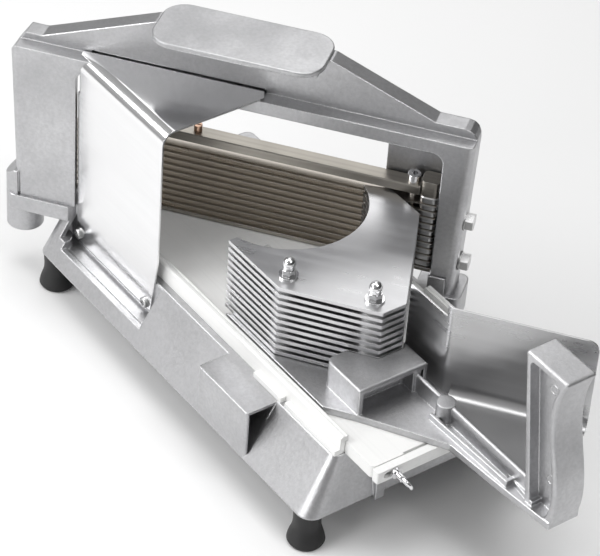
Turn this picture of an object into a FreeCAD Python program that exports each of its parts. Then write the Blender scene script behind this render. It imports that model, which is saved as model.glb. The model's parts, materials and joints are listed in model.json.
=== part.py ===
"""Manual tomato slicer: a cast base with a sliding pusher and a slanted frame of level blades.

Units are millimetres.  +Z is up.  The pusher slides along +Y, away from the operator, and X runs
to the operator's right.  The origin of the saved parts lies on the table, under the middle of the
whole slicer with its pusher at rest.
"""
import FreeCAD
import Part
import math
import os

V = FreeCAD.Vector
UP = V(0, 0, 1)

# ---- blades and fins: everything follows the slice thickness -------------------------------
SLICE_PITCH = 25.4 * 3 / 16
SLICES = 11
FIN_T = 2.4
FIN_TOP = 125.0
BLADE_T = 0.5
BLADE_DEPTH = 14.0

# ---- base casting --------------------------------------------------------------------------
RIM_Z = 61.0
RIM_X = 70.0
RIM_Y = 145.0
SKIRT_Z = 25.0
SKIRT_X = 92.0
SKIRT_NEAR = 152.0
SKIRT_FAR = 149.0
WALL = 4.0
DECK_T = 5.0
DECK_BOTTOM = RIM_Z - DECK_T
FOOT_X = 83.2
FOOT_HOLE = 6.5
FOOT_NEAR_Y = -141.0
FOOT_FAR_Y = 138.0

# ---- slanted blade frame: u runs along it, n through it, z is height -------------------------
FRAME_TURN = -52.5
FRAME_CENTRE = V(-10.3, 50.3, 0)
FRAME_HALF = 147.5
FRAME_DEPTH = 22.0
WINDOW_LEFT = -104.0
WINDOW_RIGHT = 129.5
WINDOW_TOP = 165.0
LEDGE_Z = 174.0
SHOULDER_Z = 179.0
SHOULDER_R = 9.0
PLATE_Z = 206.0
PLATE_T = 3.0
BLADE_N = 6.0
ROD_U = (-98.0, 121.5)
CLAMP_U = (-85.0, 110.5)
LUG_U = (-142.0, 138.0)
LUG_Z = 37.0
POST_DRAFT = 3.0
ROD_N = BLADE_N + BLADE_DEPTH / 2
BAR_BOTTOM = FIN_TOP + 1.7
BAR_H = 6.0

# ---- track and pusher ------------------------------------------------------------------------
BOARD_T = 8.5
BOARD_X = (-62.3, 60.5)
BOARD_Y = (-170.0, 117.0)
PUSHER_Z = RIM_Z + BOARD_T + 0.2
PLATE_TOP = PUSHER_Z + 4.6
MOUTH_R = 50.0
MOUTH_CENTRE = V(-3.5, 3.6, 0)
FIN_RODS = (V(-45.5, -58.0, 0), V(-15.6, -102.0, 0))
GUARD_T = 1.2
KEY_Y = (-136.0, -100.0)
FOLD_R = 9.0

# ---- blade cartridge, measured along the frame (u) -----------------------------------------
TENSION_Z = (114.5, 83.5)
BOLT_FACE_U = 145.0
BAR_U = (-107.0, 127.5)
END_BLOCK_U = ((-104.0, -91.0), (116.0, 128.0))
BOTTOM_BAR_Z = (70.0, 72.6)
SET_SCREW_U = -28.0

# ---- side guard, pusher details and eye screw --------------------------------------------------
GUARD_SLOT_U = (-97.0, 15.0)
GUARD_SCREWS = ((129.8, 41.5), (51.6, 39.3))
PLATE_FRONT_N = -80.5
GUARD_N = -103.5
ARM_X = (-5.6, -2.7)
GRIP_Z = (PUSHER_Z, 173.0)
RIB_TOP = 86.5
LOW_RIB_H = 4.2
GRIP_W = 20.8
POCKET_D = 7.0
BOSS = V(-5.2, -162, 0)
BOSS_R = 5.8
FOLD_FROM = 4.0
EYE_AXIS = V(-50.6, BOARD_Y[0], RIM_Z + 4.6)

# every part is drawn about the middle of the rim and saved about the middle of the whole slicer
MIDDLE = V(-1.03, -41.2, 0)


# ---- helpers -----------------------------------------------------------------------------------
def box(x0, x1, y0, y1, z0, z1):
    return Part.makeBox(x1 - x0, y1 - y0, z1 - z0, V(x0, y0, z0))


def rod(radius, start, end):
    return Part.makeCylinder(radius, (end - start).Length, start, end - start)


def prism(points, z0, z1):
    """Upright prism over a plan outline."""
    corners = [V(x, y, z0) for x, y in points]
    return Part.Face(Part.makePolygon(corners + corners[:1])).extrude(V(0, 0, z1 - z0))


def slab(points, n0, n1):
    """Prism through the frame: the outline is in u and z, the depth in n."""
    corners = [V(u, n0, z) for u, z in points]
    return Part.Face(Part.makePolygon(corners + corners[:1])).extrude(V(0, n1 - n0, 0))


def profile_x(points, x0, x1):
    """Prism along X over an outline in y and z."""
    corners = [V(x0, y, z) for y, z in points]
    return Part.Face(Part.makePolygon(corners + corners[:1])).extrude(V(x1 - x0, 0, 0))


def fuse(shapes):
    return shapes[0].multiFuse(shapes[1:]).removeSplitter() if len(shapes) > 1 else shapes[0]


def rounded(shape, radius, wanted):
    """Fillet the edges for which wanted(edge) is true."""
    edges = [edge for edge in shape.Edges if wanted(edge)]
    return shape.makeFillet(radius, edges) if edges else shape


def is_upright(edge):
    if len(edge.Vertexes) != 2:
        return False
    step = edge.Vertexes[1].Point - edge.Vertexes[0].Point
    return abs(step.x) < 1e-6 and abs(step.y) < 1e-6


def on_frame(shape):
    """Move a shape from the frame's own u, n, z into the slicer's axes."""
    moved = shape.copy()
    turn = FreeCAD.Rotation(UP, FRAME_TURN)
    moved.Placement = FreeCAD.Placement(FRAME_CENTRE, turn).multiply(moved.Placement)
    return moved


def line_n(n, x):
    """Y, at this x, of the upright plane that lies n through the frame."""
    normal = FreeCAD.Rotation(UP, FRAME_TURN).multVec(V(0, 1, 0))
    return (n + FRAME_CENTRE.dot(normal) - x * normal.x) / normal.y


def frame_point(u, n, z=0.0):
    return FRAME_CENTRE + FreeCAD.Rotation(UP, FRAME_TURN).multVec(V(u, n, 0)) + V(0, 0, z)


def hex_prism(across_flats, start, direction, height, crowned=True):
    """Hexagon head, nut or socket standing on start, along direction."""
    radius = across_flats / math.sqrt(3)
    corners = [V(radius * math.cos(math.radians(60 * i)), radius * math.sin(math.radians(60 * i)), 0)
               for i in range(6)]
    solid = Part.Face(Part.makePolygon(corners + corners[:1])).extrude(V(0, 0, height))
    if crowned:
        solid = solid.common(Part.makeCone(radius + 0.9 * height, radius * 0.93, height))
    solid.Placement = FreeCAD.Placement(start, FreeCAD.Rotation(UP, direction))
    return solid


def pan_screw(head_base, direction, head_r, head_h, shank_r, length):
    """Domed screw: the head stands out along direction, the shank runs the other way."""
    head = Part.makeCylinder(head_r, head_h)
    head = head.makeFillet(head_h * 0.6, [head.Edges[0]])
    slot = box(-head_r, head_r, -0.5, 0.5, head_h * 0.55, head_h + 1)
    cross = box(-0.5, 0.5, -head_r, head_r, head_h * 0.55, head_h + 1)
    inner = Part.makeCylinder(head_r * 0.62, head_h + 1)
    head = head.cut(slot.common(inner)).cut(cross.common(inner))
    shank = Part.makeCylinder(shank_r, length, V(0, 0, -length))
    screw = head.fuse(shank).removeSplitter()
    screw.Placement = FreeCAD.Placement(head_base, FreeCAD.Rotation(UP, direction))
    return screw


def save(name, shape):
    solids = shape.Solids
    for solid in solids:
        if not solid.isValid():
            raise ValueError(name + " holds an invalid solid")
    kept = solids[0] if len(solids) == 1 else Part.makeCompound(solids)
    kept.translated(MIDDLE * -1).exportStep("parts/" + name + ".step")


# ---- base casting ------------------------------------------------------------------------------
def rounded_rectangle(x0, x1, y0, y1, radius, z):
    flat = box(x0, x1, y0, y1, z, z + 1)
    flat = flat.makeFillet(radius, [edge for edge in flat.Edges if is_upright(edge)])
    return [face for face in flat.Faces if abs(face.CenterOfMass.z - z) < 1e-6][0].OuterWire


def skirt(inset, z_top, z_bottom):
    """Tapered body between the rim and the skirt's lower edge, drawn in by inset."""
    def outline(height, radius):
        share = (RIM_Z - height) / (RIM_Z - SKIRT_Z)
        half = RIM_X + (SKIRT_X - RIM_X) * share - inset
        near = RIM_Y + (SKIRT_NEAR - RIM_Y) * share - inset
        far = RIM_Y + (SKIRT_FAR - RIM_Y) * share - inset
        return rounded_rectangle(-half, half, -near, far, radius, height)
    return Part.makeLoft([outline(z_top, 5.0), outline(z_bottom, 10.0)], True)


def frame_pads():
    """Two seats that carry the feet of the blade frame outside the rim, each with a bolt lug."""
    left = rounded(box(-149.5, -96, -2, 25, 50, RIM_Z), 5.0, is_upright)
    left_lug = rod(12.0, V(LUG_U[0], 11, 33), V(LUG_U[0], 11, RIM_Z))
    right = rounded(box(120, 150, -2, 25, 40, RIM_Z), 5.0, is_upright)
    right_lug = rod(11.0, V(LUG_U[1], 11, 33), V(LUG_U[1], 11, RIM_Z))
    lip = box(128.5, 139.5, -2, -0.2, RIM_Z - 1, RIM_Z + 13.5)
    return [on_frame(part) for part in (left, left_lug, right, right_lug, lip)]


def base_casting():
    body = skirt(0.0, RIM_Z, SKIRT_Z)
    pocket_block = rounded(box(-91.6, -60, -87.5, -37, SKIRT_Z + 0.5, RIM_Z), 2.0,
                           lambda edge: is_upright(edge) and edge.Vertexes[0].X < -80)
    body = fuse([body, pocket_block] + frame_pads())
    body = body.cut(skirt(WALL, RIM_Z - DECK_T, SKIRT_Z - 0.01))
    # open end of the pocket block, a sloping hollow towards the operator
    hollow = Part.Face(Part.makePolygon([V(-89.6, -88, 28), V(-71.5, -88, 59), V(-89.6, -88, 59),
                                         V(-89.6, -88, 28)])).extrude(V(0, 34, 0))
    body = body.cut(hollow)
    # upright recess that takes the side guard
    body = body.cut(box(-95, -RIM_X - 0.8, 36, 134.6, 34.6, RIM_Z + 1))
    backing = box(-RIM_X - 0.8, -RIM_X + 2.2, 34, 140, 32.0, RIM_Z - 1)
    ledge = box(-84.5, -RIM_X + 2.2, 34, 140, 30.0, 33.0)
    tabs = [box(sign * 41 - 3.2, sign * 41 + 3.2, -RIM_Y - 9, -RIM_Y + 2, 22.5, RIM_Z)
            for sign in (-1, 1)]
    envelope = skirt(0.0, RIM_Z, SKIRT_Z)
    foot_bosses = [rod(9.6, point + V(0, 0, SKIRT_Z), point + V(0, 0, SKIRT_Z + 14)).common(envelope)
                   for point in foot_points()]
    cross_ribs = [box(-68.5, 68.5, y - 2, y + 2, 40, RIM_Z - 2) for y in (-90, -30, 30, 90)]
    body = fuse([body, backing, ledge] + tabs + foot_bosses + cross_ribs)
    for point in foot_points():
        body = body.cut(rod(2.6, point + V(0, 0, SKIRT_Z - 1), point + V(0, 0, SKIRT_Z + FOOT_HOLE)))
    for u in LUG_U:
        body = body.cut(rod(3.0, frame_point(u, 11, 24), frame_point(u, 11, RIM_Z + 1)))
        body = body.cut(rod(4.6, frame_point(u, 11, 24), frame_point(u, 11, LUG_Z)))
    for y, z in GUARD_SCREWS:
        body = body.cut(rod(1.55, V(-RIM_X - 2, y, z), V(-RIM_X + 3, y, z)))
    for x, y in rail_screw_points() + board_screw_points():
        body = body.cut(rod(1.7, V(x, y, RIM_Z - 8), V(x, y, RIM_Z + 1)))
    return body


def foot_points():
    return [V(x, y, 0) for x in (-FOOT_X, FOOT_X) for y in (FOOT_NEAR_Y, FOOT_FAR_Y)]


def foot(point):
    """Waisted rubber foot, wider at the table, with a recess for its screw."""
    height = SKIRT_Z - 0.1
    side = Part.BSplineCurve()
    side.interpolate([V(11.5, 0, 2.0), V(10.6, 0, 6.0), V(8.7, 0, 12.5), V(8.4, 0, 18.0),
                      V(8.9, 0, height)])
    edges = [Part.makeLine(V(3.0, 0, 7.0), V(5.2, 0, 7.0)),
             Part.makeLine(V(5.2, 0, 7.0), V(5.2, 0, 0)),
             Part.makeLine(V(5.2, 0, 0), V(10.4, 0, 0)),
             Part.makeLine(V(10.4, 0, 0), V(11.5, 0, 2.0)),
             side.toShape(),
             Part.makeLine(V(8.9, 0, height), V(3.0, 0, height)),
             Part.makeLine(V(3.0, 0, height), V(3.0, 0, 7.0))]
    solid = Part.Face(Part.Wire(edges)).revolve(V(0, 0, 0), UP, 360)
    solid = Part.Solid(solid.Shells[0]) if solid.ShapeType != "Solid" else solid
    solid.translate(point)
    return solid


# ---- track -------------------------------------------------------------------------------------
def rail_screw_points():
    left = [(BOARD_X[0] - 1.8, y) for y in (-132, -72, -12, 48, 102)]
    right = [(BOARD_X[1] + 1.8, y) for y in (-132, -100, -70)]
    return left + right


def board_screw_points():
    return [(x, y) for x in (-30, 30) for y in (-110, -10, 60)]


def track_board():
    board = box(BOARD_X[0], BOARD_X[1], BOARD_Y[0], BOARD_Y[1], RIM_Z, RIM_Z + BOARD_T)
    board = rounded(board, 3.0, is_upright)
    stop = KEY_Y[1] + 125 + 4
    board = board.cut(box(-4, 4, BOARD_Y[0] - 1, stop, RIM_Z, RIM_Z + BOARD_T + 1))
    board = board.cut(box(-8, 8, BOARD_Y[0] - 1, stop, RIM_Z - 1, RIM_Z + 4.5))
    board = board.cut(box(-40, 40, BOARD_Y[0] - 1, BOARD_Y[0] + 1.2, RIM_Z - 1, RIM_Z + BOARD_T + 1))
    board = board.cut(rod(2.1, EYE_AXIS + V(0, -1, 0), EYE_AXIS + V(0, 24, 0)))
    for x, y in board_screw_points():
        board = board.cut(rod(1.7, V(x, y, RIM_Z - 1), V(x, y, RIM_Z + 6.2)))
    return board


def rail(side):
    """Stepped plastic rail whose lip holds the board's edge down; side is -1 left, +1 right."""
    inner = BOARD_X[0] if side < 0 else BOARD_X[1]
    y0, y1 = (-144.0, 110.0) if side < 0 else (-144.0, -60.0)
    top = RIM_Z + 12.5
    section = [(0.2, RIM_Z), (3.4, RIM_Z), (3.4, top - 1.2), (2.4, top), (0.6, top), (0.2, top - 0.8),
               (-0.4, top - 0.8), (-0.8, top), (-1.8, top), (-1.8, RIM_Z + BOARD_T + 0.15),
               (0.2, RIM_Z + BOARD_T + 0.15)]
    corners = [V(inner + side * x, y0, z) for x, z in section]
    solid = Part.Face(Part.makePolygon(corners + corners[:1])).extrude(V(0, y1 - y0, 0))
    # low ledge along the near part, notched beside the end of the base's pocket block
    ledge = box(3.0, 7.2, y0, -62, RIM_Z, RIM_Z + 3.6).cut(box(3.5, 8, -94, -90, RIM_Z - 1, RIM_Z + 5))
    if side < 0:
        ledge = ledge.mirror(V(0, 0, 0), V(1, 0, 0))
    solid = solid.fuse(ledge.translated(V(inner, 0, 0))).removeSplitter()
    for x, y in rail_screw_points():
        if (x < 0) == (side < 0):
            solid = solid.cut(rod(1.1, V(x, y, RIM_Z - 1), V(x, y, RIM_Z + 7.2)))
    return solid


def track_end_bar():
    """Stop bar across the track's near end, held on by the eye screw in a slotted hole."""
    y0, y1 = BOARD_Y[0] - 6.0, BOARD_Y[0] - 0.6
    bar = box(BOARD_X[0] - 0.6, BOARD_X[1], y0, y1, RIM_Z + 0.4, RIM_Z + BOARD_T)
    bar = rounded(bar, 1.2, is_upright)
    z = EYE_AXIS.z
    slot = box(EYE_AXIS.x - 5.5, EYE_AXIS.x, y0 - 1, y1 + 1, z - 2.2, z + 2.2)
    ends = [rod(2.2, V(x, y0 - 1, z), V(x, y1 + 1, z)) for x in (EYE_AXIS.x - 5.5, EYE_AXIS.x)]
    return bar.cut(slot.multiFuse(ends))


def eye_screw():
    """Thumb screw with a ring head; it turns on its own axis along Y."""
    front = BOARD_Y[0] - 6.0
    shank = rod(2.0, EYE_AXIS + V(0, 22, 0), V(EYE_AXIS.x, front - 7.6, EYE_AXIS.z))
    collar = rod(3.4, V(EYE_AXIS.x, front - 0.2, EYE_AXIS.z), V(EYE_AXIS.x, front - 2.2, EYE_AXIS.z))
    tilt = math.radians(30)
    ring = Part.makeTorus(4.0, 1.1, V(EYE_AXIS.x, front - 11.0, EYE_AXIS.z), V(math.cos(tilt), 0, math.sin(tilt)))
    return shank.fuse(collar).fuse(ring)


def track_screws():
    """Screws up through the deck: thin ones into the rails, thicker ones into the board."""
    screws = []
    for points, radius, end in ((rail_screw_points(), 1.05, 7.0), (board_screw_points(), 1.6, 6.0)):
        for x, y in points:
            shank = rod(radius, V(x, y, DECK_BOTTOM - 0.1), V(x, y, RIM_Z + end))
            head = rod(radius + 1.2, V(x, y, DECK_BOTTOM - 2.3), V(x, y, DECK_BOTTOM - 0.1))
            screws.append(shank.fuse(head))
    return Part.makeCompound(screws)


# ---- blade frame -------------------------------------------------------------------------------
def gable(inset):
    """Outline of the frame in u and z, drawn in by inset along the gable."""
    half = FRAME_HALF
    angles = [math.radians(22.5 * i) for i in range(5)]
    shoulder = [(half - SHOULDER_R + SHOULDER_R * math.sin(a) - inset,
                 SHOULDER_Z + 1 - SHOULDER_R + SHOULDER_R * math.cos(a) - inset) for a in angles]
    return [(-half + inset, LEDGE_Z - 5), (-half + 7 + inset, SHOULDER_Z - inset),
            (-129.5, SHOULDER_Z - inset), (-57, PLATE_Z + 1 - inset), (54, PLATE_Z + 1 - inset),
            (120.5, SHOULDER_Z + 1 - inset)] + shoulder


def blade_frame():
    foot_u = FRAME_HALF - POST_DRAFT
    body = slab([(-foot_u, RIM_Z)] + gable(0.0) + [(foot_u, RIM_Z)], 0, FRAME_DEPTH)
    body = rounded(body, 5.0, lambda edge: edge.Length > 100 and abs(edge.CenterOfMass.x) > 144)
    window = box(WINDOW_LEFT, WINDOW_RIGHT, -1, FRAME_DEPTH + 1, RIM_Z - 1, WINDOW_TOP)
    window = rounded(window, 7.0, lambda edge: abs(edge.CenterOfMass.z - WINDOW_TOP) < 1e-6
                     and edge.Length < FRAME_DEPTH + 3)
    body = body.cut(window)
    # shelf along the front of the beam, with the web standing behind it
    body = body.cut(box(-160, 160, -1, 10, LEDGE_Z, PLATE_Z + 10))
    # the back of the web is hollow under the gable's flange
    back = [(-126, LEDGE_Z - 4), (-126, SHOULDER_Z - 4), (-57, PLATE_Z - 4), (54, PLATE_Z - 4),
            (118, SHOULDER_Z - 3), (118, LEDGE_Z - 4)]
    body = body.cut(slab(back, 14, FRAME_DEPTH + 1))
    # slot at the foot of the web that takes the far edge of the side guard
    backing = box(GUARD_SLOT_U[0] - 4, GUARD_SLOT_U[1] + 4, 13, 18, LEDGE_Z - 5, LEDGE_Z + 9)
    body = body.fuse(backing).cut(box(GUARD_SLOT_U[0], GUARD_SLOT_U[1], 9, 14.5, LEDGE_Z, LEDGE_Z + 2.6))
    # the posts are channels, open at the back on the left and towards the window on the right
    post_top = WINDOW_TOP - 6
    body = body.cut(box(-foot_u + 4, WINDOW_LEFT + 1, 4, FRAME_DEPTH + 1, RIM_Z + 6, post_top))
    body = body.cut(box(WINDOW_RIGHT - 1, foot_u - 4, 4, 18, RIM_Z + 6, post_top))
    rear_wall = box(91, foot_u - 2, BLADE_N + BLADE_DEPTH + 0.3, FRAME_DEPTH, 78, WINDOW_TOP + 1)
    plate = rounded(box(-55.5, 52.5, -12.5, 34, PLATE_Z, PLATE_Z + PLATE_T), 15.0, is_upright)
    plate = plate.makeFillet(0.9, [edge for edge in plate.Edges
                                   if abs(edge.CenterOfMass.z - PLATE_Z - PLATE_T) < 1e-6])
    plate_rib = box(-50, 50, -6, 28, PLATE_Z - 2, PLATE_Z)
    ear = rod(12.0, V(LUG_U[0], 11, RIM_Z), V(LUG_U[0], 11, RIM_Z + 18))
    ear = ear.cut(slab([(-160, RIM_Z + 5), (-144, RIM_Z + 19), (-160, RIM_Z + 30)], -10, 40))
    ear = ear.cut(box(-foot_u + 2, -120, -10, 40, RIM_Z - 1, RIM_Z + 30))
    body = fuse([body, rear_wall, plate, plate_rib, ear])
    for z in TENSION_Z:
        body = body.cut(rod(3.1, V(136, 9, z), V(152, 9, z)))
        body = body.cut(rod(6.5, V(BOLT_FACE_U, 9, z), V(BOLT_FACE_U + 6, 9, z)))
    for u in LUG_U:
        body = body.cut(rod(2.7, V(u, 11, RIM_Z - 1), V(u, 11, RIM_Z + 5.8)))
    return on_frame(body)


# ---- blade cartridge ---------------------------------------------------------------------------


def blade_level(index):
    return FIN_TOP - FIN_T / 2 - (index + 0.5) * SLICE_PITCH


def blade(index):
    """Flat blade with its ground edge towards the pusher, drilled for the tie rods and clamp screws."""
    z = blade_level(index)
    t = BLADE_T / 2
    section = [V(BAR_U[0], BLADE_N, z), V(BAR_U[0], BLADE_N + 2.2, z + t),
               V(BAR_U[0], BLADE_N + BLADE_DEPTH, z + t), V(BAR_U[0], BLADE_N + BLADE_DEPTH, z - t),
               V(BAR_U[0], BLADE_N + 2.2, z - t)]
    strip = Part.Face(Part.makePolygon(section + section[:1])).extrude(V(BAR_U[1] - BAR_U[0], 0, 0))
    for u in ROD_U:
        strip = strip.cut(rod(3.05, V(u, ROD_N, z - 2), V(u, ROD_N, z + 2)))
    for u in CLAMP_U:
        strip = strip.cut(rod(2.05, V(u, ROD_N, z - 2), V(u, ROD_N, z + 2)))
    return on_frame(strip)


def cartridge_bar(u0, u1, z0, z1):
    """Bar of the blade cartridge, drilled for whichever rods and screws pass through it."""
    bar = box(u0, u1, ROD_N - 5.5, ROD_N + 5.5, z0, z1)
    for radius, places in ((3.05, ROD_U), (2.05, CLAMP_U)):
        for u in places:
            if u0 < u < u1:
                bar = bar.cut(rod(radius, V(u, ROD_N, z0 - 1), V(u, ROD_N, z1 + 1)))
    return bar


def top_bar():
    bar = cartridge_bar(END_BLOCK_U[0][1] + 0.2, END_BLOCK_U[1][0] - 0.2, BAR_BOTTOM, BAR_BOTTOM + BAR_H)
    bar = bar.makeChamfer(0.6, [edge for edge in bar.Edges if edge.Length > 100
                                and edge.CenterOfMass.z > BAR_BOTTOM + 1])
    return on_frame(bar.cut(rod(1.55, V(SET_SCREW_U, ROD_N, BAR_BOTTOM - 1),
                                V(SET_SCREW_U, ROD_N, BAR_BOTTOM + BAR_H + 1))))


def end_blocks():
    """Blocks screwed down on the tie rods; they close the spacer columns."""
    blocks = []
    for (u0, u1), u in zip(END_BLOCK_U, ROD_U):
        block = rounded(box(u0, u1, ROD_N - 6, ROD_N + 6, BAR_BOTTOM, BAR_BOTTOM + 11), 3.0, is_upright)
        blocks.append(block.cut(rod(3.05, V(u, ROD_N, BAR_BOTTOM - 1), V(u, ROD_N, BAR_BOTTOM + 8.5))))
    return on_frame(Part.makeCompound(blocks))


def spacer_column(side):
    """Round-ended spacers between the blades, with one more above and one below the stack."""
    (u0, u1), u = END_BLOCK_U[side], ROD_U[side]
    levels = [BAR_BOTTOM] + [blade_level(i) for i in range(SLICES)] + [BOTTOM_BAR_Z[1]]
    spacers = []
    for upper, lower in zip(levels, levels[1:]):
        top = upper - (0 if upper == BAR_BOTTOM else BLADE_T / 2)
        bottom = lower + (0 if lower == BOTTOM_BAR_Z[1] else BLADE_T / 2)
        spacer = rounded(box(u0, u1, ROD_N - 6.5, ROD_N + 6, bottom, top), 3.5, is_upright)
        if top - bottom > 2.5:
            flat = [edge for edge in spacer.Edges
                    if abs(edge.BoundBox.ZMax - edge.BoundBox.ZMin) < 1e-6]
            spacer = spacer.makeChamfer(0.8, flat)
        spacers.append(spacer.cut(rod(3.05, V(u, ROD_N, bottom - 1), V(u, ROD_N, top + 1))))
    return on_frame(Part.makeCompound(spacers))


def tie_rod(u):
    return on_frame(rod(3.0, V(u, ROD_N, BOTTOM_BAR_Z[0] - 0.4), V(u, ROD_N, BAR_BOTTOM + 8.3)))


def clamp_screws():
    """Socket head screws through the top bar, the blades and the bottom bar."""
    screws = []
    top = BAR_BOTTOM + BAR_H
    for u in CLAMP_U:
        head = rod(4.2, V(u, ROD_N, top), V(u, ROD_N, top + 5.5))
        head = head.makeFillet(0.6, [edge for edge in head.Edges
                                     if edge.Closed and edge.CenterOfMass.z > top + 5])
        head = head.cut(hex_prism(4.0, V(u, ROD_N, top + 2.6), UP, 4.0, False))
        screws.append(head.fuse(rod(2.0, V(u, ROD_N, BOTTOM_BAR_Z[0]), V(u, ROD_N, top))))
    return on_frame(Part.makeCompound(screws))


def set_screw():
    top = BAR_BOTTOM + BAR_H
    u = SET_SCREW_U
    shank = rod(1.5, V(u, ROD_N, BAR_BOTTOM + 0.5), V(u, ROD_N, top))
    head = rod(2.6, V(u, ROD_N, top), V(u, ROD_N, top + 4.6))
    head = head.cut(box(u - 4, u + 4, ROD_N - 0.4, ROD_N + 0.4, top + 3.4, top + 6))
    return on_frame(shank.fuse(head).removeSplitter())


def tension_bolts():
    """Two hexagon bolts through the right post; they bear on the spacer column."""
    bolts = []
    for z in TENSION_Z:
        washer = rod(6.2, V(BOLT_FACE_U, 9, z), V(BOLT_FACE_U + 1.2, 9, z))
        head = hex_prism(10.0, V(BOLT_FACE_U + 1.2, 9, z), V(1, 0, 0), 5.0)
        shank = rod(3.0, V(END_BLOCK_U[1][1] + 0.3, 9, z), V(BOLT_FACE_U + 1.2, 9, z))
        bolts.append(fuse([washer, head, shank]))
    return on_frame(Part.makeCompound(bolts))


def frame_bolts():
    """Socket screws up through the base's lugs into the feet of the frame."""
    bolts = []
    for u in LUG_U:
        head = rod(4.0, V(u, 11, LUG_Z - 3.4), V(u, 11, LUG_Z - 0.1))
        head = head.cut(hex_prism(3.0, V(u, 11, LUG_Z - 3.5), UP, 1.8, False))
        bolts.append(head.fuse(rod(2.65, V(u, 11, LUG_Z - 0.1), V(u, 11, RIM_Z + 5.5))))
    return on_frame(Part.makeCompound(bolts))


# ---- side guard --------------------------------------------------------------------------------


def side_guard():
    """Bent sheet: an upright panel on the base's left side and a top panel under the frame's web."""
    outer, top, bend = -RIM_X - 2.0, LEDGE_Z + 1.6, 9.0
    y0, y1 = 38.0, 132.6
    side = profile_x([(y0, top - bend), (y0 + 1.2, 78), (y0 + 8, 36.2), (y1 - 3, 36.2),
                      (y1, 39.0), (y1, top - bend)], outer, outer + GUARD_T)
    centre = V(outer + bend, y0, top - bend)
    roll = Part.makeCylinder(bend, y1 - y0 + 30, centre, V(0, 1, 0))
    roll = roll.cut(Part.makeCylinder(bend - GUARD_T, y1 - y0 + 30, centre, V(0, 1, 0)))
    roll = roll.common(box(outer - 1, outer + bend, y0, y1 + 30, top - bend, top + 1))
    tip = frame_point(GUARD_SLOT_U[1] - 1, 9.0)
    tab = [frame_point(GUARD_SLOT_U[1] - 1, 13.5), frame_point(GUARD_SLOT_U[0] + 1, 13.5),
           frame_point(GUARD_SLOT_U[0] + 1, 9.0)]
    sheet = prism([(outer + bend, y0), (tip.x - 4, y0 + 1), (tip.x, tip.y)] + [(p.x, p.y) for p in tab]
                  + [(outer + bend, line_n(9.0, outer + bend))], top - GUARD_T, top)
    behind_web = on_frame(box(-200, GUARD_SLOT_U[0] + 1, 9.0, 90, 0, 300))
    beside_post = on_frame(box(-200, WINDOW_LEFT + 1.6, -1.0, 90, 0, 300))
    under_beam = on_frame(box(-112, -80, -0.4, 40, 150, LEDGE_Z + 0.2))
    guard = fuse([side, roll, sheet]).cut(behind_web).cut(beside_post).cut(under_beam)
    for y, z in GUARD_SCREWS:
        guard = guard.cut(rod(1.8, V(outer - 1, y, z), V(outer + 3, y, z)))
    return guard


def side_guard_screws():
    face = -RIM_X - 2.0
    screws = [pan_screw(V(face, y, z), V(-1, 0, 0), 3.6, 2.2, 1.5, 4.0) for y, z in GUARD_SCREWS]
    return Part.makeCompound(screws)


# ---- pusher ------------------------------------------------------------------------------------
def fin(index):
    """Fin plate with a round mouth for the fruit; its rear edge runs along the blades."""
    top = FIN_TOP - index * SLICE_PITCH
    outline = [(-56.8, -12.6), (-56.8, -64.3), (-19.2, -114.7), (-2.2, -114.7), (56.5, -50.4),
               (56.5, -20.5), (45.0, -9.6)]
    plate = prism(outline, top - FIN_T, top)
    plate = plate.cut(rod(MOUTH_R, MOUTH_CENTRE + V(0, 0, top - 9), MOUTH_CENTRE + V(0, 0, top + 9)))
    plate = rounded(plate, 1.5, lambda edge: is_upright(edge) and edge.Vertexes[0].Y < -40)
    for point in FIN_RODS:
        plate = plate.cut(rod(2.55, point + V(0, 0, top - 9), point + V(0, 0, top + 9)))
    return plate


def fin_spacers():
    spacers = []
    for point in FIN_RODS:
        for index in range(SLICES):
            top = FIN_TOP - FIN_T - index * SLICE_PITCH
            bottom = PLATE_TOP if index == SLICES - 1 else top - SLICE_PITCH + FIN_T
            ring = rod(9.0, point + V(0, 0, bottom), point + V(0, 0, top))
            spacers.append(ring.cut(rod(2.55, point + V(0, 0, bottom - 1), point + V(0, 0, top + 1))))
    return Part.makeCompound(spacers)


def fin_rod(point):
    return rod(2.5, point + V(0, 0, PUSHER_Z + 0.6), point + V(0, 0, FIN_TOP + 8.0))


def fin_washers():
    rings = [rod(6.0, point + V(0, 0, FIN_TOP), point + V(0, 0, FIN_TOP + 1.2)).cut(
        rod(2.55, point + V(0, 0, FIN_TOP - 1), point + V(0, 0, FIN_TOP + 2))) for point in FIN_RODS]
    return Part.makeCompound(rings)


def acorn_nuts():
    nuts = []
    for point in FIN_RODS:
        base = point + V(0, 0, FIN_TOP + 1.2)
        body = hex_prism(8.0, base, UP, 4.4)
        neck = rod(3.5, base + V(0, 0, 4.0), base + V(0, 0, 8.0))
        dome = Part.makeSphere(3.9, base + V(0, 0, 8.0))
        nut = fuse([body, neck, dome])
        nuts.append(nut.cut(rod(2.52, base - UP, base + V(0, 0, 7.2))))
    return Part.makeCompound(nuts)


def head_block():
    """Hollow block behind the fins, open towards the operator, that takes the push."""
    top = 92.5
    outline = [(-46.8, -134), (2.2, -134), (2.2, -110.8), (-1.9, -115.3), (-19.5, -115.3), (-31.2, -99.6),
               (-46.8, -99.6)]
    block = prism(outline, PUSHER_Z, top)
    block = rounded(block, 6.0, lambda edge: is_upright(edge)
                    and edge.Vertexes[0].X < -46 and edge.Vertexes[0].Y > -100)
    block = rounded(block, 1.2, lambda edge: abs(edge.BoundBox.ZMin - top) < 1e-6)
    inner = box(-43.6, ARM_X[0] - 2.0, -135, -124, PLATE_TOP, 89)
    right = box(ARM_X[1] + 0.6, -0.4, -135, -124, PLATE_TOP, 89)
    return block.cut(rounded(inner, 2.0, lambda edge: is_upright(edge) and edge.Vertexes[0].Y > -125)).cut(right)


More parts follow.
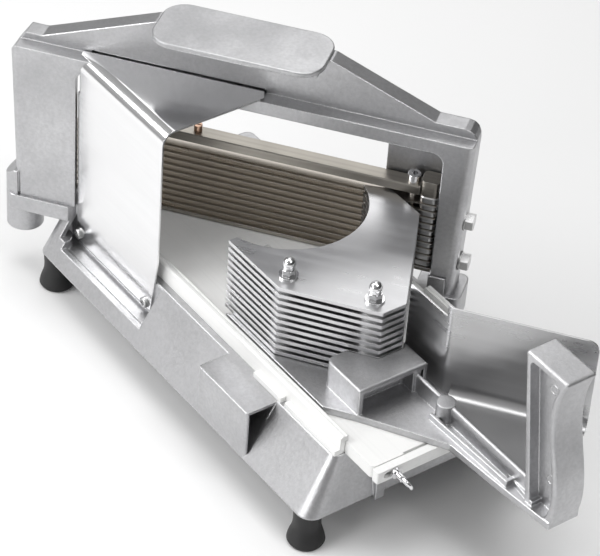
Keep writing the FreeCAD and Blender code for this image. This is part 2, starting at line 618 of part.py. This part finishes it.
def push_plate():
    left = -59.5
    outline = [(left, -117), (-46.8, -134), (-16.4, -181.5), (-13.4, -222), (-9.6, -262), (12.0, -262),
               (14.5, -238), (50.0, line_n(GUARD_N - 2, 50.0)), (10.5, line_n(GUARD_N + 2, 10.5)),
               (10.5, line_n(PLATE_FRONT_N, 10.5)), (left, line_n(PLATE_FRONT_N, left))]
    return prism(outline, PUSHER_Z, PLATE_TOP)


def grip():
    """Upright hand grip: a bar leaning forward, waved for the palm and hollow on its left side."""
    def outline(inset):
        low, high = GRIP_Z[0] + inset, GRIP_Z[1] - inset
        far_low, far_high = -240.0 - inset, -224.0 - inset
        near = [(-260.0, high), (-254.0, 152), (-255.0, 134), (-260.5, 112), (-264.0, 94), (-261.0, low)]
        wave = Part.BSplineCurve()
        wave.interpolate([V(0, y + inset, z) for y, z in near])
        start, end = V(0, near[0][0] + inset, high), V(0, near[-1][0] + inset, low)
        straight = [Part.makeLine(end, V(0, far_low, low)),
                    Part.makeLine(V(0, far_low, low), V(0, far_high, high)),
                    Part.makeLine(V(0, far_high, high), start)]
        return Part.Face(Part.Wire([wave.toShape()] + straight))
    body = outline(0.0).extrude(V(GRIP_W, 0, 0))
    body.translate(V(-9.0, 0, 0))
    body = body.makeFillet(1.6, [edge for edge in body.Edges if edge.Length > 60
                                 or abs(edge.CenterOfMass.z - GRIP_Z[1]) < 1e-6])
    hollow = outline(4.0).extrude(V(POCKET_D + 1.0, 0, 0))
    hollow = hollow.makeFillet(4.0, [edge for edge in hollow.Edges if edge.Length < POCKET_D + 1.2])
    hollow.translate(V(-10.0, 0, 0))
    floor = -9.0 + POCKET_D
    marks = [rod(3.2, V(floor - 0.3, y, z), V(floor + 0.5, y, z)).cut(rod(2.6, V(-9, y, z), V(9, y, z)))
             for y, z in ((-251.0, 95.0), (-243.0, 155.0))]
    return fuse([body.cut(hollow)] + marks)


def pusher_casting():
    low = PLATE_TOP - 3.0
    rib = box(ARM_X[0], ARM_X[1], -238, -117, low, RIB_TOP)
    rib = rounded(rib, 1.2, lambda edge: edge.Length > 50 and edge.CenterOfMass.z > RIB_TOP - 1)
    rib_end = prism([(ARM_X[0], -219), (ARM_X[1], -219), (1.5, -246), (-9.0, -246)], low, PLATE_TOP + 3.0)
    # low rib beside the tall one; a channel lies between them, closed at the grip's end
    low_rib = prism([(-13.4, -158), (-11.4, -158), (-9.6, -224), (-5.0, -224), (-5.0, -226.4), (-11.4, -226.4)],
                    low, PLATE_TOP + LOW_RIB_H)
    boss = rod(BOSS_R, BOSS + V(0, 0, low), BOSS + V(0, 0, RIB_TOP + 0.5))
    body = fuse([push_plate(), head_block(), rib, rib_end, low_rib, boss, grip()])
    for point in FIN_RODS:
        body = body.cut(rod(2.52, point + V(0, 0, PUSHER_Z - 1), point + V(0, 0, PLATE_TOP + 1)))
    for x, y in hand_guard_screw_points():
        body = body.cut(rod(1.55, V(x, y, PUSHER_Z - 1), V(x, y, PLATE_TOP + 1)))
        body = body.cut(Part.makeCone(3.2, 1.5, 1.8, V(x, y, PUSHER_Z)))
    for y in key_screw_ys():
        body = body.cut(rod(1.55, V(0, y, PUSHER_Z - 1), V(0, y, PLATE_TOP - 0.6)))
    return body


def key_screw_ys():
    return (KEY_Y[0] + 7, KEY_Y[1] - 7)


def guide_key():
    """T-shaped key in the track's slot; it keeps the pusher down and straight."""
    flange = box(-7.6, 7.6, KEY_Y[0], KEY_Y[1], RIM_Z + 0.4, RIM_Z + 4.1)
    stem = box(-3.7, 3.7, KEY_Y[0], KEY_Y[1], RIM_Z + 4.0, PUSHER_Z)
    key = flange.fuse(stem).removeSplitter()
    for y in key_screw_ys():
        key = key.cut(rod(1.55, V(0, y, RIM_Z - 1), V(0, y, PUSHER_Z + 1)))
        key = key.cut(rod(3.1, V(0, y, RIM_Z), V(0, y, RIM_Z + 2.6)))
    return key


def guide_key_screws():
    screws = []
    for y in key_screw_ys():
        head = rod(2.9, V(0, y, RIM_Z + 0.8), V(0, y, RIM_Z + 2.6))
        screws.append(head.fuse(rod(1.5, V(0, y, RIM_Z + 2.6), V(0, y, PLATE_TOP - 1.0))))
    return Part.makeCompound(screws)


def hand_guard_screw_points():
    return [(15.0, -221.0), (34.0, -206.0)]


def hand_guard():
    """Bent sheet on the pusher: a short panel beside the fins and a long one in front of the hand."""
    turn = FreeCAD.Rotation(UP, FRAME_TURN)
    along, normal = turn.multVec(V(1, 0, 0)), turn.multVec(V(0, 1, 0))
    corner = V(8.0, line_n(GUARD_N, 8.0), PLATE_TOP)
    start = V(8.0, -105.5, PLATE_TOP)
    end = corner + along * 86
    bend = corner + V(GUARD_T, GUARD_T * math.tan(math.radians((90 + FRAME_TURN) / 2)), 0)
    path = [start, corner, end, end + normal * GUARD_T, bend, start + V(GUARD_T, 0, 0)]
    sheet = Part.Face(Part.makePolygon(path + path[:1])).extrude(V(0, 0, 137.5 - PLATE_TOP))
    for place, radius in ((corner, 6.0), (bend, 4.8)):
        sheet = rounded(sheet, radius, lambda edge: is_upright(edge)
                        and (edge.Vertexes[0].Point - place).cross(UP).Length < 0.5)
    # the short panel is lower, and the long one has a rounded top corner
    sheet = sheet.cut(box(0, 12, corner.y + 4, -90, 129.0, 140))
    corner_cut = box(0, 7, -5, 5, 0, 7).cut(rod(7.0, V(0, -6, 0), V(0, 6, 0)))
    corner_cut.Placement = FreeCAD.Placement(end - along * 7 + V(0, 0, 130.5 - PLATE_TOP), turn)
    below_fold = box(FOLD_FROM, 100, -3, 3, -1, FOLD_R)
    below_fold.Placement = FreeCAD.Placement(corner, turn)
    sheet = sheet.cut(corner_cut).cut(below_fold)
    fold = Part.makeCylinder(FOLD_R, 86 - FOLD_FROM, V(FOLD_FROM, GUARD_T - FOLD_R, FOLD_R), V(1, 0, 0))
    fold = fold.cut(Part.makeCylinder(FOLD_R - GUARD_T, 86 - FOLD_FROM,
                                      V(FOLD_FROM, GUARD_T - FOLD_R, FOLD_R), V(1, 0, 0)))
    fold = fold.common(box(0, 100, GUARD_T - FOLD_R, GUARD_T + 1, 0, FOLD_R))
    fold.Placement = FreeCAD.Placement(corner, turn)
    seam = GUARD_N + GUARD_T - FOLD_R
    near_x, far_x = ARM_X[1] + 1.0, end.x - 7.3
    flange = prism([(near_x, line_n(seam, near_x) - 2.0), (near_x + 2.6, line_n(seam, near_x + 2.6)),
                    (far_x, line_n(seam, far_x)),
                    (17.0, -228.0), (near_x + 8, -228.0), (near_x, -217.0)], PLATE_TOP, PLATE_TOP + GUARD_T)
    flange = flange.cut(rod(BOSS_R + 0.5, BOSS + V(0, 0, PLATE_TOP - 1), BOSS + V(0, 0, PLATE_TOP + 3)))
    guard = fuse([sheet, fold, flange])
    for x, y in hand_guard_screw_points():
        guard = guard.cut(rod(1.55, V(x, y, PLATE_TOP - 1), V(x, y, PLATE_TOP + 3)))
    return guard


def hand_guard_screws():
    screws = []
    for x, y in hand_guard_screw_points():
        shank = rod(1.5, V(x, y, PUSHER_Z + 0.3), V(x, y, PLATE_TOP + GUARD_T - 0.2))
        screws.append(shank.fuse(Part.makeCone(2.8, 1.5, 1.3, V(x, y, PUSHER_Z + 0.3))))
    return Part.makeCompound(screws)


# ---- everything --------------------------------------------------------------------------------
def main():
    os.makedirs("parts", exist_ok=True)
    save("base_casting", base_casting())
    names = ("foot_near_left", "foot_far_left", "foot_near_right", "foot_far_right")
    for name, point in zip(names, foot_points()):
        save(name, foot(point))
    foot_screws = [rod(5.0, point + V(0, 0, 4.5), point + V(0, 0, 7.0)).fuse(
        rod(2.5, point + V(0, 0, 7.0), point + V(0, 0, SKIRT_Z + FOOT_HOLE - 0.3))) for point in foot_points()]
    save("foot_screws", Part.makeCompound(foot_screws))
    save("track_board", track_board())
    save("rail_left", rail(-1))
    save("rail_right", rail(1))
    save("track_screws", track_screws())
    save("track_end_bar", track_end_bar())
    save("eye_screw", eye_screw())
    save("blade_frame", blade_frame())
    save("frame_bolts", frame_bolts())
    for index in range(SLICES):
        save("blade_%02d" % (index + 1), blade(index))
        save("fin_%02d" % (index + 1), fin(index))
    save("blade_top_bar", top_bar())
    save("blade_bottom_bar", on_frame(cartridge_bar(BAR_U[0], BAR_U[1], *BOTTOM_BAR_Z)))
    for side, name in enumerate(("left", "right")):
        save("blade_spacers_" + name, spacer_column(side))
        save("tie_rod_" + name, tie_rod(ROD_U[side]))
    save("end_blocks", end_blocks())
    save("clamp_screws", clamp_screws())
    save("bar_set_screw", set_screw())
    save("tension_bolts", tension_bolts())
    save("side_guard", side_guard())
    save("side_guard_screws", side_guard_screws())
    save("pusher_casting", pusher_casting())
    save("fin_spacers", fin_spacers())
    for side, point in zip(("left", "right"), FIN_RODS):
        save("fin_rod_" + side, fin_rod(point))
    save("fin_washers", fin_washers())
    save("acorn_nuts", acorn_nuts())
    save("guide_key", guide_key())
    save("guide_key_screws", guide_key_screws())
    save("hand_guard", hand_guard())
    save("hand_guard_screws", hand_guard_screws())


main()
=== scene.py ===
"""Looks for the manual tomato slicer: a finish for each part, a pale floor, soft light and a camera."""

import json
import math

import bpy
from mathutils import Matrix, Vector

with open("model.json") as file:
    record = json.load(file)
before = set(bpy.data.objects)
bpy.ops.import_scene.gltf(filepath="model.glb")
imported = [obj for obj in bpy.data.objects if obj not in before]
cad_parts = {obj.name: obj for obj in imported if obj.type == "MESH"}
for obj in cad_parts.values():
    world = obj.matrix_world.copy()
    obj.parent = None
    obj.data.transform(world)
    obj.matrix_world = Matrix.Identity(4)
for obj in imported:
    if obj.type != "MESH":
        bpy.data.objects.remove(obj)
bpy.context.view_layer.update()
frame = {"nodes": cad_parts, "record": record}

# Lengths are in metres, angles in degrees and light in watts.  A texture's scale counts its features
# per metre, and a range is written (low, high).
BLADE_TURN = -52.5                       # the blades and their bars run this way from +X
ALONG_PUSH = (260.0, 5.0, 260.0)         # streak scales for marks that run along +Y
FULL = (0.0, 1.0)
MOST = (0.3, 0.7)                        # where most of a noise texture's values lie

LOOK_AT = (0.0, 0.0, 0.1)
FLOOR_HALF = 6.0
BRIGHT_SIDE = (-0.55, 0.45, 0.70)        # the room is bright above, behind and to the left
BRIGHT_SPAN = (-0.6, 1.0)                # cosines to that side, from dark room to bright room
ROOM_LIGHT = (0.02, 0.45)
SOFT_BOXES = (                           # name, place, (width, height), power
    ("left_back_box", (-1.25, 1.0, 1.35), (1.2, 0.9), 18.5),
    ("top_box", (0.0, 0.3, 1.8), (1.1, 1.1), 12.0),
    ("right_back_box", (1.2, 1.5, 1.4), (1.2, 1.0), 5.5),
    ("left_low_box", (-1.7, 0.1, 0.55), (0.9, 0.5), 8.5),
    ("front_box", (0.15, -0.95, 1.6), (0.7, 0.5), 7.0),
)

CAMERA_PLACE = (-0.77377, -0.9612, 1.0797)
CAMERA_AZIMUTH, CAMERA_ELEVATION, CAMERA_ROLL = -38.0, 38.7, 4.3
CAMERA_LENS, CAMERA_SENSOR = 157.7, 36.0  # both in millimetres
CAMERA_CLIP = (0.05, 20.0)


# ---- node helpers ------------------------------------------------------------------------------
def set_ranges(node, old, new):
    """Fill in the two ranges of a Map Range node."""
    for socket, number in zip(("From Min", "From Max", "To Min", "To Max"), (*old, *new)):
        node.inputs[socket].default_value = number


def shade(colour, factor):
    return tuple(factor * channel for channel in colour)


class Graph:
    """A material's node tree, with short calls for the nodes that the finishes share."""

    def __init__(self, name, metallic=0.0):
        self.material = bpy.data.materials.new(name)
        self.material.use_nodes = True
        self.tree = self.material.node_tree
        self.shader = next(n for n in self.tree.nodes if n.type == "BSDF_PRINCIPLED")
        self.shader.inputs["Metallic"].default_value = metallic
        self.coords = self.add("ShaderNodeTexCoord").outputs["Object"]

    def add(self, kind, **settings):
        node = self.tree.nodes.new(kind)
        for key, value in settings.items():
            setattr(node, key, value)
        return node

    def put(self, value, socket):
        """Link a socket's output, or store a plain value."""
        if hasattr(value, "is_output"):
            self.tree.links.new(value, socket)
        else:
            socket.default_value = value

    def stretched(self, scale, turn=0.0):
        """Object coordinates turned about Z, then scaled, so that a texture runs as streaks."""
        turned = self.add("ShaderNodeMapping")
        turned.inputs["Rotation"].default_value = (0.0, 0.0, -math.radians(turn))
        self.put(self.coords, turned.inputs["Vector"])
        mapping = self.add("ShaderNodeMapping")
        mapping.inputs["Scale"].default_value = scale
        self.put(turned.outputs["Vector"], mapping.inputs["Vector"])
        return mapping.outputs["Vector"]

    def noise(self, scale, detail=3.0, rough=0.5, vector=None):
        node = self.add("ShaderNodeTexNoise")
        self.put(vector or self.coords, node.inputs["Vector"])
        node.inputs["Scale"].default_value = scale
        node.inputs["Detail"].default_value = detail
        node.inputs["Roughness"].default_value = rough
        return node.outputs["Fac"]

    def pits(self, scale):
        node = self.add("ShaderNodeTexVoronoi")
        self.put(self.coords, node.inputs["Vector"])
        node.inputs["Scale"].default_value = scale
        return node.outputs["Distance"]

    def remap(self, value, old, new):
        """Carry the range old onto the range new, and clamp what lies outside."""
        node = self.add("ShaderNodeMapRange")
        self.put(value, node.inputs["Value"])
        set_ranges(node, old, new)
        return node.outputs["Result"]

    def maths(self, operation, a, b):
        node = self.add("ShaderNodeMath", operation=operation)
        self.put(a, node.inputs[0])
        self.put(b, node.inputs[1])
        return node.outputs[0]

    def mix(self, factor, a, b):
        """Colour a where the factor is 0 and colour b where it is 1."""
        node = self.add("ShaderNodeMix", data_type="RGBA")
        self.put(factor, node.inputs[0])
        for colour, socket in ((a, node.inputs[6]), (b, node.inputs[7])):
            self.put((*colour, 1.0) if isinstance(colour, tuple) else colour, socket)
        return node.outputs[2]

    def rounded_normal(self, radius):
        """Normals rounded over every edge."""
        bevel = self.add("ShaderNodeBevel", samples=6)
        bevel.inputs["Radius"].default_value = radius
        return bevel.outputs["Normal"]

    def edge_mask(self, normal):
        """1 on the edges, where the rounded normal leaves the flat one, and 0 on flat faces."""
        dot = self.add("ShaderNodeVectorMath", operation="DOT_PRODUCT")
        self.put(normal, dot.inputs[0])
        self.put(self.add("ShaderNodeNewGeometry").outputs["Normal"], dot.inputs[1])
        return self.remap(dot.outputs["Value"], (0.75, 0.995), (1.0, 0.0))

    def bump(self, height, distance, strength, normal=None):
        node = self.add("ShaderNodeBump")
        self.put(height, node.inputs["Height"])
        node.inputs["Distance"].default_value = distance
        node.inputs["Strength"].default_value = strength
        if normal is not None:
            self.put(normal, node.inputs["Normal"])
        return node.outputs["Normal"]

    def finish(self, colour, roughness, normal):
        self.put(colour, self.shader.inputs["Base Color"])
        self.put(roughness, self.shader.inputs["Roughness"])
        self.put(normal, self.shader.inputs["Normal"])
        return self.material


# ---- finishes ----------------------------------------------------------------------------------
def cast_aluminium():
    """Tumbled die casting: fine grain, cloudy tone, a highlight painted bright along the edges, and
    smoother edges.
    """
    light, dark, edge_highlight = (0.60, 0.60, 0.61), (0.48, 0.48, 0.49), (0.88, 0.885, 0.89)
    g = Graph("cast_aluminium", metallic=1.0)
    normal = g.rounded_normal(radius=0.0012)
    edge = g.edge_mask(normal)
    cloud = g.noise(scale=22.0, detail=4.0, rough=0.6)
    grain = g.noise(scale=1100.0, detail=3.0, rough=0.6)
    speck = g.noise(scale=420.0, detail=4.0, rough=0.7)
    wave = g.noise(scale=180.0, detail=2.0)
    colour = g.mix(g.remap(cloud, MOST, FULL), dark, light)
    colour = g.mix(g.remap(speck, (0.35, 0.65), (0.0, 0.45)), colour, shade(dark, 0.8))
    # painted highlight: the edges are mixed towards a bright colour
    colour = g.mix(g.maths("MULTIPLY", edge, 0.6), colour, edge_highlight)
    roughness = g.remap(cloud, MOST, (0.47, 0.33))
    roughness = g.maths("ADD", roughness, g.remap(grain, MOST, (-0.06, 0.06)))
    roughness = g.maths("SUBTRACT", roughness, g.maths("MULTIPLY", edge, 0.12))
    normal = g.bump(wave, distance=0.0006, strength=0.10, normal=normal)
    normal = g.bump(grain, distance=0.00025, strength=0.42, normal=normal)
    normal = g.bump(g.pits(scale=700.0), distance=0.0002, strength=0.15, normal=normal)
    return g.finish(colour, roughness, normal)


def sheet_metal(name, light, dark, rough, streaks, turn=0.0, radius=0.0004, relief=0.3):
    """Rolled or ground metal: streaks one way, smudges, softened edges and a highlight painted along
    them.
    """
    g = Graph(name, metallic=1.0)
    normal = g.rounded_normal(radius)
    edge = g.edge_mask(normal)
    lines = g.noise(scale=1.0, detail=1.0, rough=0.4, vector=g.stretched(streaks, turn))
    smudge = g.noise(scale=18.0, detail=4.0, rough=0.6)
    colour = g.mix(g.remap(lines, MOST, FULL), dark, light)
    # painted highlight: the edges are mixed towards near-white
    colour = g.mix(g.maths("MULTIPLY", edge, 0.5), colour, (0.9, 0.9, 0.9))
    roughness = g.remap(smudge, (0.35, 0.7), rough)
    roughness = g.maths("ADD", roughness, g.remap(lines, MOST, (-0.03, 0.03)))
    return g.finish(colour, roughness, g.bump(lines, distance=0.00006, strength=relief, normal=normal))


def white_plastic():
    """Machined polyethylene: faint cutter marks, and grey scuffs the way the pusher travels."""
    clean, scuffed, dull = (0.85, 0.85, 0.84), (0.68, 0.68, 0.675), (0.79, 0.79, 0.775)
    g = Graph("white_polyethylene")
    normal = g.rounded_normal(radius=0.0006)
    scuff = g.noise(scale=1.0, detail=5.0, rough=0.7, vector=g.stretched(ALONG_PUSH))
    cloud = g.noise(scale=30.0)
    colour = g.mix(g.remap(scuff, (0.52, 0.75), (0.0, 0.35)), clean, scuffed)
    colour = g.mix(g.remap(cloud, (0.5, 0.8), (0.0, 0.25)), colour, dull)
    roughness = g.remap(scuff, MOST, (0.36, 0.52))
    g.shader.inputs["Subsurface Weight"].default_value = 0.12
    g.shader.inputs["Subsurface Radius"].default_value = (0.004, 0.004, 0.004)
    normal = g.bump(scuff, distance=0.00012, strength=0.22, normal=normal)
    normal = g.bump(g.noise(scale=900.0), distance=0.0001, strength=0.12, normal=normal)
    return g.finish(colour, roughness, normal)


def rubber():
    """Black rubber with a little dust in it."""
    g = Graph("black_rubber")
    normal = g.rounded_normal(radius=0.0007)
    dust = g.noise(scale=60.0, detail=5.0, rough=0.7)
    colour = g.mix(g.remap(dust, (0.5, 0.8), (0.0, 0.5)), (0.009, 0.009, 0.0095), (0.03, 0.03, 0.029))
    roughness = g.remap(dust, (0.3, 0.8), (0.42, 0.68))
    normal = g.bump(g.noise(scale=700.0, detail=4.0), distance=0.0002, strength=0.3, normal=normal)
    return g.finish(colour, roughness, normal)


def plated(name, colour, rough):
    """Bright plated hardware with handling marks."""
    g = Graph(name, metallic=1.0)
    normal = g.rounded_normal(radius=0.0003)
    marks = g.noise(scale=140.0, detail=5.0, rough=0.65)
    tone = g.mix(g.remap(marks, (0.35, 0.75), FULL), colour, shade(colour, 0.8))
    roughness = g.remap(marks, (0.3, 0.75), rough)
    normal = g.bump(g.noise(scale=900.0), distance=0.00008, strength=0.2, normal=normal)
    return g.finish(tone, roughness, normal)


FINISHES = {
    "cast_aluminium": cast_aluminium(),
    "rubber": rubber(),
    "white_plastic": white_plastic(),
    "blade_steel": sheet_metal(
        "ground_blade_steel", light=(0.52, 0.485, 0.44), dark=(0.43, 0.40, 0.36), rough=(0.26, 0.36),
        streaks=(1.5, 500.0, 500.0), turn=BLADE_TURN, radius=0.00015, relief=0.1),
    "fin_aluminium": sheet_metal(
        "fin_aluminium", light=(0.70, 0.70, 0.71), dark=(0.66, 0.66, 0.67), rough=(0.26, 0.36),
        streaks=(3.0, 220.0, 220.0), turn=BLADE_TURN, relief=0.04),
    "bar_steel": sheet_metal(
        "ground_bar_steel", light=(0.42, 0.395, 0.35), dark=(0.33, 0.31, 0.28), rough=(0.3, 0.42),
        streaks=(2.0, 400.0, 400.0), turn=BLADE_TURN, relief=0.15),
    "spacer_metal": sheet_metal(
        "turned_spacer", light=(0.74, 0.74, 0.74), dark=(0.58, 0.58, 0.58), rough=(0.28, 0.4),
        streaks=(30.0, 30.0, 1200.0)),
    "polished_sheet": sheet_metal(
        "polished_sheet", light=(0.88, 0.88, 0.885), dark=(0.84, 0.84, 0.845), rough=(0.14, 0.24),
        streaks=(6.0, 6.0, 500.0), relief=0.08),
    "brushed_sheet": sheet_metal(
        "brushed_sheet", light=(0.56, 0.56, 0.565), dark=(0.52, 0.52, 0.525), rough=(0.26, 0.36),
        streaks=(3.0, 3.0, 260.0), relief=0.03),
    "chrome": plated("chrome_plate", (0.86, 0.86, 0.87), rough=(0.05, 0.16)),
    "zinc_steel": plated("zinc_plate", (0.66, 0.66, 0.66), rough=(0.24, 0.42)),
    "copper_screw": plated("copper_plate", (0.78, 0.52, 0.38), rough=(0.26, 0.4)),
}


def dress():
    """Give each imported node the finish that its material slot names."""
    for part in frame["record"]["subparts"]:
        mesh = frame["nodes"][part["node"]].data
        mesh.materials.clear()
        mesh.materials.append(FINISHES[part["material_slot"]])


# ---- stage -------------------------------------------------------------------------------------
def pale_floor():
    half = FLOOR_HALF
    mesh = bpy.data.meshes.new("floor")
    corners = [(-half, -half, 0), (half, -half, 0), (half, half, 0), (-half, half, 0)]
    mesh.from_pydata(corners, [], [(0, 1, 2, 3)])
    floor = bpy.data.objects.new("floor", mesh)
    bpy.context.scene.collection.objects.link(floor)
    g = Graph("pale_floor")
    colour = g.mix(g.noise(scale=1.5, detail=2.0), (0.84, 0.84, 0.84), (0.87, 0.87, 0.87))
    normal = g.bump(g.noise(scale=500.0), distance=0.0001, strength=0.05)
    mesh.materials.append(g.finish(colour, roughness=0.7, normal=normal))


def soft_box(name, place, size, power):
    """Rectangular area light that faces the slicer."""
    light = bpy.data.lights.new(name, "AREA")
    light.shape = "RECTANGLE"
    light.size, light.size_y = size
    light.energy = power
    lamp = bpy.data.objects.new(name, light)
    lamp.location = place
    lamp.rotation_euler = (Vector(place) - Vector(LOOK_AT)).to_track_quat("Z", "Y").to_euler()
    bpy.context.scene.collection.objects.link(lamp)


def room():
    """World light that falls from bright on one side to nearly dark on the other."""
    world = bpy.data.worlds.new("studio")
    world.use_nodes = True
    tree = world.node_tree
    background = next(n for n in tree.nodes if n.type == "BACKGROUND")
    towards = tree.nodes.new("ShaderNodeVectorMath")
    towards.operation = "DOT_PRODUCT"
    towards.inputs[1].default_value = Vector(BRIGHT_SIDE).normalized()
    ramp = tree.nodes.new("ShaderNodeMapRange")
    set_ranges(ramp, BRIGHT_SPAN, ROOM_LIGHT)
    tree.links.new(tree.nodes.new("ShaderNodeTexCoord").outputs["Generated"], towards.inputs[0])
    tree.links.new(towards.outputs["Value"], ramp.inputs["Value"])
    tree.links.new(ramp.outputs["Result"], background.inputs["Color"])
    bpy.context.scene.world = world


def studio():
    # Standard keeps the pale floor white and the metal's contrast, which the default transform flattens
    bpy.context.scene.view_settings.view_transform = "Standard"
    room()
    for name, place, size, power in SOFT_BOXES:
        soft_box(name, place, size, power)


def long_lens_camera():
    """Camera above the near left corner, rolled a little."""
    azimuth, elevation, roll = (math.radians(a) for a in (CAMERA_AZIMUTH, CAMERA_ELEVATION, CAMERA_ROLL))
    level = Vector((math.cos(azimuth), math.sin(azimuth), 0.0))
    back = Vector((math.sin(azimuth) * math.cos(elevation), -math.cos(azimuth) * math.cos(elevation),
                   math.sin(elevation)))
    upright = back.cross(level)
    right = level * math.cos(roll) + upright * math.sin(roll)
    up = upright * math.cos(roll) - level * math.sin(roll)
    data = bpy.data.cameras.new("camera")
    data.lens, data.sensor_width = CAMERA_LENS, CAMERA_SENSOR
    data.clip_start, data.clip_end = CAMERA_CLIP
    camera = bpy.data.objects.new("camera", data)
    facing = Matrix((right, up, back)).transposed().to_4x4()
    camera.matrix_world = Matrix.Translation(CAMERA_PLACE) @ facing
    bpy.context.scene.collection.objects.link(camera)
    bpy.context.scene.camera = camera


dress()
pale_floor()
studio()
long_lens_camera()
